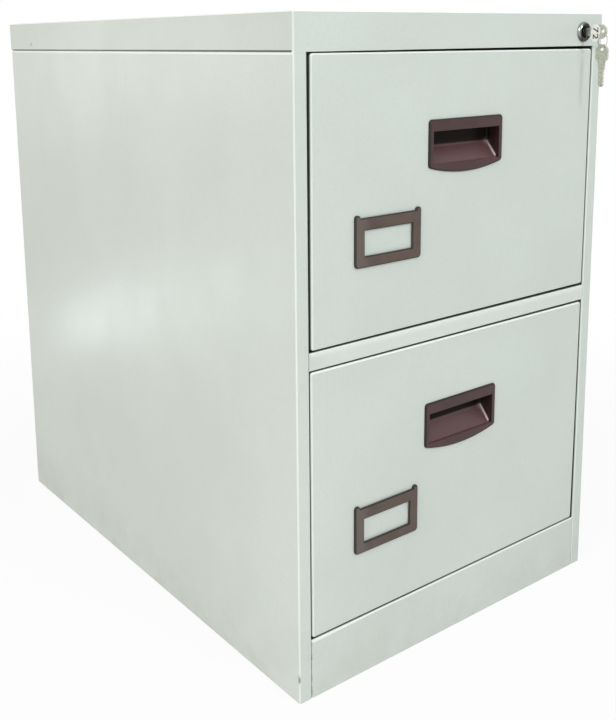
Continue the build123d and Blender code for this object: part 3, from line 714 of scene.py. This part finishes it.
def drawer_front(drawer):
    """The pressed front: a pan with rolled edges and the opening for the handle's cup."""
    low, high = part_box(f"{drawer}_front_panel")
    _, handle_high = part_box(f"{drawer}_handle")
    hole_low, hole_high = handle_high.z - 48.6 * MM, handle_high.z - 6.2 * MM
    hole_side = 51.9 * MM
    piece = box(f"{drawer}_front_pressing", low, high)
    remove_faces(lambda face: face.normal.y > 0.9)
    pick("edges", lambda edge: along(edge, "y"))
    roll(FRONT_CORNER, 5)
    cut(("x", -hole_side), ("x", hole_side), ("z", hole_low), ("z", hole_high))

    def in_hole(face):
        centre = middle(face)
        in_front = abs(centre.x) < hole_side and is_close(centre.y, low.y)
        return in_front and hole_low < centre.z < hole_high

    remove_faces(in_hole)
    set_crooked(drawer, low, high)

    def rim(edge):
        at_front = all(is_close(vert.co.y, low.y) for vert in edge.verts)
        return at_front and any(abs(face.normal.y) < 0.5 for face in edge.link_faces)

    pick("edges", rim)
    roll(FRONT_ROLL, 5)
    finish_modifier(piece, "SOLIDIFY", thickness=FRONT_SHEET, offset=-1, use_even_offset=True)
    ready(piece, f"{drawer}_drawer", PAINT, f"{drawer}_front_panel")

    # The sheet behind it follows the same edges.
    sheet = cad_copy(f"{drawer}_front_backing", f"{drawer}_backing_sheet")
    set_crooked(drawer, low, high)
    ready(sheet, f"{drawer}_drawer", PAINT, f"{drawer}_front_backing")


# Handles

RIM = 2.5 * MM
SAG = 7.6 * MM
RIM_HALF = 56 * MM
CUP_HALF = 50 * MM
CUP_DEPTH = 15.5 * MM
CUP_LIP = 1 * MM
# The arched foot bends at columns this far apart.
COLUMN_STEP = 5.6 * MM


def handle(drawer):
    """One moulding: a raised rim with an arched foot, a sloping floor and a pocket behind the lip."""
    _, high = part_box(f"{drawer}_handle")
    top = high.z
    face = FRONT - RIM
    lip, floor_edge, ridge, pocket = top - 12.5 * MM, top - 46.5 * MM, top - 29 * MM, top - 8 * MM
    foot = top - 50 * MM
    piece = plate(f"{drawer}_pull", (-RIM_HALF, face, foot), (RIM_HALF, face, top))
    columns = [("x", step * COLUMN_STEP) for step in range(-8, 9)]
    cut(("x", -CUP_HALF), ("x", CUP_HALF), ("z", lip), ("z", floor_edge), *columns)

    def arch(vert):
        if is_close(vert.co.z, foot):
            vert.co.z -= SAG * (1 - (vert.co.x / RIM_HALF) ** 2)

    reshape(arch)

    # The rim's side wall
    pick("edges", lambda edge: edge.is_boundary)
    push(y=RIM)
    for level, radius in ((top, 4.0 * MM), (foot, 3.2 * MM)):

        def corner(edge):
            centre = middle(edge)
            return along(edge, "y") and is_close(abs(centre.x), RIM_HALF) and is_close(centre.z, level)

        pick("edges", corner)
        roll(radius, 6)
    weld(0.01 * MM)

    # The cup: the step behind the lip, then the pocket with its sloping floor
    def opening(side):
        centre = middle(side)
        return abs(centre.x) < CUP_HALF and floor_edge < centre.z < lip and side.normal.y < -0.9

    def lift(level, new_level):
        def move(vert):
            if vert.select and is_close(vert.co.z, level):
                vert.co.z = new_level

        reshape(move)

    pick("faces", opening)
    push(y=RIM + CUP_LIP)
    push()
    lift(lip, pocket)
    push(y=CUP_DEPTH - CUP_LIP)
    lift(floor_edge, ridge)

    # Rolled edges
    def outer_rim(edge):
        at_face = all(is_close(vert.co.y, face) for vert in edge.verts)
        centre = middle(edge)
        within = abs(centre.x) < CUP_HALF + MM and floor_edge - MM < centre.z < lip + MM
        return at_face and not within and any(abs(side.normal.y) < 0.5 for side in edge.link_faces)

    pick("edges", outer_rim)
    roll(1.9 * MM, 4)

    def mouth(edge):
        at_face = all(is_close(vert.co.y, face) for vert in edge.verts)
        centre, near = middle(edge), 0.1 * MM
        within = abs(centre.x) < CUP_HALF + near and floor_edge - near < centre.z < lip + near
        return at_face and within and any(abs(side.normal.y) < 0.9 for side in edge.link_faces)

    pick("edges", mouth)
    roll(0.6 * MM, 2)

    def cup_corner(edge):
        centre = middle(edge)
        inside = centre.y > FRONT + 1.2 * MM and len(edge.link_faces) == 2
        return inside and edge.calc_face_angle(0) > math.radians(25)

    pick("edges", cup_corner)
    roll(2.6 * MM, 5)
    weld(0.02 * MM)
    bpy.ops.mesh.dissolve_degenerate(threshold=0.02 * MM)
    finish_modifier(piece, "SOLIDIFY", thickness=1.4 * MM, offset=-1)
    ready(piece, f"{drawer}_drawer", HANDLE, f"{drawer}_handle", angle=40)


# Label holders


def label_holder(drawer):
    """A moulded frame with two ears, a window and a slot for a card behind it."""
    low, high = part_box(f"{drawer}_label_holder")
    face = FRONT - 3 * MM
    ear_top, top, foot = high.z, high.z - 3 * MM, high.z - 53.5 * MM
    side_low, side_high = low.x, high.x
    window_x = (side_low + 12.5 * MM, side_high - 12.5 * MM)
    window_z = (foot + 11.5 * MM, foot + 37.5 * MM)
    ear = 7 * MM
    piece = box(f"{drawer}_label_frame", (side_low, face, foot), (side_high, FRONT, top))
    pick("edges", lambda edge: along(edge, "y") and is_close(middle(edge).z, foot))
    roll(4 * MM, 5)
    cut(("x", window_x[0]), ("x", window_x[1]), ("z", window_z[0]), ("z", window_z[1]))
    cut(("x", side_low + ear), ("x", side_high - ear))

    def on_ear(side):
        centre = middle(side)
        beside = centre.x < side_low + ear or centre.x > side_high - ear
        return beside and side.normal.z > 0.9 and is_close(centre.z, top)

    pick("faces", on_ear)
    push(z=ear_top - top)
    pick("edges", lambda edge: along(edge, "y") and is_close(middle(edge).z, ear_top))
    roll(2.8 * MM, 5)

    def in_window(side):
        centre = middle(side)
        across_x = window_x[0] < centre.x < window_x[1]
        return across_x and window_z[0] < centre.z < window_z[1] and abs(side.normal.y) > 0.9

    remove_faces(in_window)
    pick("edges", lambda edge: edge.is_boundary)
    bpy.ops.mesh.bridge_edge_loops()
    face_outward()

    def front_rim(edge):
        if not all(is_close(vert.co.y, face) for vert in edge.verts):
            return False
        return any(abs(side.normal.y) < 0.5 for side in edge.link_faces)

    pick("edges", front_rim)
    roll(1.6 * MM, 4)

    # The card slot is cut from behind and is open at the top.
    slot_low = (side_low + ear, FRONT - 1 * MM, foot + 7.5 * MM)
    slot_high = (side_high - ear, FRONT + 1 * MM, ear_top + 5 * MM)
    slot = box(f"{drawer}_card_slot", slot_low, slot_high)
    finish_modifier(piece, "BOOLEAN", operation="DIFFERENCE", object=slot, solver="EXACT")
    bpy.data.objects.remove(slot)
    ready(piece, f"{drawer}_drawer", LABEL, f"{drawer}_label_holder")


# Lock, keys, ring and tag


def lock_face():
    """The turned bezel with its stepped rings, and the barrel behind it."""
    profile = [
        (6.1, -337.6),
        (7.0, -338.2),
        (7.6, -338.2),
        (7.9, -338.9),
        (8.5, -339.0),
        (9.3, -338.9),
        (10.4, -338.2),
        (11.1, -337.0),
        (11.3, -336.2),
        (11.3, -335.05),
        (9.5, -335.05),
        (9.5, -312.5),
        (6.1, -312.5),
    ]
    piece = turned("lock_bezel", profile)
    ready(piece, "carcass", CHROME, "lock_housing", angle=24)


BOW_LENGTH = 23 * MM
BOW_HOLE = 3 * MM
HOLE_Y = -362 * MM
HANGING_HOLE_Z = 658.9 * MM


def key_piece(node, name, body):
    """A key whose bow has rounded corners, with fine rolled edges all over."""
    piece = cad_copy(node, name)
    hanging = node == "spare_key"
    low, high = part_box(node)

    def bow_corner(edge):
        centre = middle(edge)
        hole = Vector((centre.x, HOLE_Y, HANGING_HOLE_Z if hanging else LOCK[1]))
        on_bow = centre.z > high.z - BOW_LENGTH if hanging else centre.y < low.y + BOW_LENGTH
        return along(edge, "x") and on_bow and (centre - hole).length >= BOW_HOLE

    pick("edges", bow_corner)
    roll(1.8 * MM, 4)
    roll_sharp(piece, 0.28 * MM, 2, 40)
    ready(piece, body, KEY, node)


def split_ring():
    """A split ring: nearly two turns of spring wire that lie against each other."""
    low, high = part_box("key_ring")
    centre = (low + high) / 2
    wire_radius, rim_gap, half_pitch = 0.27 * MM, 0.6 * MM, 0.24 * MM
    radius = (high.z - low.z) / 2 - rim_gap
    curve = bpy.data.curves.new("split_ring", "CURVE")
    curve.dimensions = "3D"
    curve.bevel_depth = wire_radius
    curve.bevel_resolution = 3
    curve.use_fill_caps = True
    curve.resolution_u = 4
    wire = curve.splines.new("NURBS")
    turns, steps, start = 1.9, 76, math.radians(20)
    wire.points.add(steps)
    for index, point in enumerate(wire.points):
        share = index / steps
        angle = share * turns * math.tau + start
        # The turns cross over once, as the wire passes from one side to the other.
        offset = half_pitch * math.tanh((share - 0.5) * 24)
        at = centre + Vector((radius * math.cos(angle), offset, radius * math.sin(angle)))
        point.co = (*at, 1)
    wire.order_u = 4
    wire.use_endpoint_u = True
    lone(new_object("split_ring", curve))
    bpy.ops.object.convert(target="MESH")
    piece = bpy.context.object
    bpy.ops.object.mode_set(mode="EDIT")
    weld()
    ready(piece, "key_ring", WIRE, "key_ring", angle=60)


def number_tag():
    """An oval tag with a raised rim and a number turned on its side."""
    low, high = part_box("key_tag")
    centre = (low + high) / 2
    size = high - low
    nothing_selected()
    bpy.ops.mesh.primitive_cylinder_add(
        vertices=56, radius=0.5, depth=1, location=centre, rotation=(0, -math.pi / 2, 0)
    )
    bpy.context.object.scale = (size.z, size.y, size.x)
    piece = begin("number_tag")
    rim, slope, recess = 0.9 * MM, 0.25 * MM, 0.22 * MM
    pick("faces", lambda face: face.normal.x < -0.9)
    bpy.ops.mesh.inset(thickness=rim)
    bpy.ops.mesh.inset(thickness=slope)
    slide(x=recess)

    def outer_rim(edge):
        return is_close(middle(edge).x, low.x) and any(abs(face.normal.x) < 0.5 for face in edge.link_faces)

    pick("edges", outer_rim)
    roll(0.25 * MM, 3)
    ready(piece, "key", TAG, "key_tag", angle=40)

    nothing_selected()
    bpy.ops.object.text_add()
    number = bpy.context.object
    number.name = "tag_number"
    number.data.body = "72"
    number.data.size = 9.6 * MM
    number.data.space_character = 1.12
    number.data.offset = 0.1 * MM
    number.data.align_x = "CENTER"
    number.data.align_y = "CENTER"
    number.data.extrude = 0.04 * MM
    bpy.ops.object.convert(target="MESH")
    number = bpy.context.object
    lone(number)
    # The text's X runs down the tag and its face looks to the left.
    turn = Matrix((Vector((0, 0, -1)), Vector((0, -1, 0)), Vector((-1, 0, 0))))
    place = Vector((low.x + 0.2 * MM, centre.y, centre.z))
    wider = Matrix.Diagonal((1.4, 1.05, 1, 1))
    number.data.transform(Matrix.Translation(place) @ turn.to_4x4() @ wider)
    bpy.ops.object.mode_set(mode="EDIT")
    weld()
    face_outward()
    ready(number, "key", INK)


for drawer in ("upper", "lower"):
    drawer_front(drawer)
    handle(drawer)
    label_holder(drawer)

lock_face()
softened("lock_plug", "lock_plug", BARREL, 0.25 * MM)
key_piece("key", "cut_key", "key")
key_piece("spare_key", "spare_cut_key", "spare_key")
split_ring()
number_tag()

# Rollers and cradles with rolled edges

for drawer in ("upper", "lower"):
    for place in ("rear", "middle", "front"):
        softened(f"{drawer}_{place}_rollers", f"{drawer}_{place}_rollers", NYLON, 0.9 * MM, 3)
    for side in ("left", "right"):
        softened(f"{drawer}_{side}_cradle", f"{drawer}_cradles", ZINC, 0.35 * MM)


# CAD nodes that keep their shape

PAINTED = ("cover", "panel", "cross_rail", "backing", "tub", "base")
for name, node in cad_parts.items():
    if node.hide_render:
        continue
    if any(word in name for word in PAINTED):
        material = PAINT
    elif "upright" in name or "guides" in name or "catch" in name:
        material = GALVANISED
    else:
        material = ZINC
    node.data.materials.clear()
    node.data.materials.append(material)


# Floor, backdrop and light


def studio_floor():
    """A pale floor that turns to plain white away from the cabinet, and keeps its shadow."""
    nothing_selected()
    bpy.ops.mesh.primitive_plane_add(size=60, location=(0, 0, -0.0005))
    floor = bpy.context.object
    floor.name = "studio_floor"
    pale = Finish("pale_floor")
    far = pale.near(0, 0, 0, (1, 1, 0)).above(0.85, 0.9)
    matt = pale.node("ShaderNodeBsdfDiffuse", sockets={"Color": (0.8, 0.8, 0.8, 1)})
    white = pale.node("ShaderNodeEmission", sockets={"Color": WHITE, "Strength": 1.0})
    factor = pale.seen() * (0.92 + far * 0.08)
    mix = pale.node("ShaderNodeMixShader", sockets={"Fac": factor, 1: matt, 2: white})
    pale.node("ShaderNodeOutputMaterial", sockets={"Surface": mix})
    floor.data.materials.append(pale.material)


def lamp(name, place, aim, size, power, colour):
    """A rectangular lamp that the camera doesn't see."""
    light = bpy.data.lights.new(name, "AREA")
    light.shape = "RECTANGLE"
    light.size, light.size_y = size
    light.energy = power
    light.color = colour
    holder = new_object(name, light)
    place, aim = Vector(place), Vector(aim)
    holder.location = place
    holder.rotation_euler = (aim - place).to_track_quat("-Z", "Y").to_euler()
    holder.visible_camera = False
    return holder


def studio_world():
    """White to the camera and in reflections, and a plain soft light on everything else."""
    world = bpy.data.worlds.new("studio")
    bpy.context.scene.world = world
    sky = Finish("studio", world)
    soft = sky.node("ShaderNodeBackground", sockets={"Color": WHITE, "Strength": 0.5})
    white = sky.node("ShaderNodeBackground", sockets={"Color": WHITE, "Strength": 1.0})
    mix = sky.node("ShaderNodeMixShader", sockets={"Fac": sky.seen(), 1: soft, 2: white})
    sky.node("ShaderNodeOutputWorld", sockets={"Surface": mix})


studio_floor()
studio_world()
LAMPS = {
    "front_light": {
        "place": (0.19, -1.75, 1.60),
        "aim": (0.1, -0.335, 0.4),
        "size": (0.36, 0.36),
        "power": 12.8,
        "colour": (0.94, 1.0, 0.99),
    },
    "left_light": {
        "place": (-3.2, -0.95, 2.6),
        "aim": (-0.23, -0.1, 0.35),
        "size": (1.6, 1.6),
        "power": 58,
        "colour": (1.0, 0.965, 0.885),
    },
    "low_front_light": {
        "place": (-0.60, -0.80, 0.19),
        "aim": (-0.2, -0.335, 0.1),
        "size": (0.45, 0.45),
        "power": 0.68,
        "colour": (0.97, 0.99, 1.0),
    },
    "back_window": {
        "place": (-1.98, 2.88, 0.62),
        "aim": (-0.23, -0.1, 0.6),
        "size": (0.9, 0.5),
        "power": 4.0,
        "colour": (1.0, 0.99, 0.95),
    },
    "low_window": {
        "place": (-0.71, 0.70, 0.128),
        "aim": (-0.69, -0.30, 0.128),
        "size": (0.44, 0.09),
        "power": 0.64,
        "colour": (0.85, 0.965, 1.0),
    },
}
lamps = {name: lamp(name, **settings) for name, settings in LAMPS.items()}
# This one shows as the soft patch on the left side, and lights nothing else.
lamps["low_window"].visible_diffuse = False


# Camera

# Size, focal length and principal point in pixels of the photograph, and a sensor width in millimetres
IMAGE_SIZE = (616, 720)
FOCAL = 983.0
PRINCIPAL = (291.0, 220.0)
SENSOR = 36
CAMERA_PLACE = (-0.779, -1.055, 0.674)
AZIMUTH, PITCH, TILT = math.radians(37.10), math.radians(10.42), math.radians(-0.66)

camera_data = bpy.data.cameras.new("camera")
camera_data.sensor_width = SENSOR
camera_data.lens = FOCAL * SENSOR / IMAGE_SIZE[1]
camera_data.shift_x = (IMAGE_SIZE[0] / 2 - PRINCIPAL[0]) / IMAGE_SIZE[1]
camera_data.shift_y = (PRINCIPAL[1] - IMAGE_SIZE[1] / 2) / IMAGE_SIZE[1]
camera_data.clip_start = 0.05
camera_data.clip_end = 200
camera = new_object("camera", camera_data)
level = math.cos(PITCH)
forward = Vector((level * math.sin(AZIMUTH), level * math.cos(AZIMUTH), -math.sin(PITCH)))
right = forward.cross(UP).normalized()
upward = right.cross(forward)
turned_right = right * math.cos(TILT) + upward * math.sin(TILT)
turned_up = upward * math.cos(TILT) - right * math.sin(TILT)
basis = Matrix((turned_right, turned_up, -forward)).transposed()
camera.matrix_world = Matrix.Translation(CAMERA_PLACE) @ basis.to_4x4()
bpy.context.scene.camera = camera

bpy.context.scene.view_settings.view_transform = "Standard"
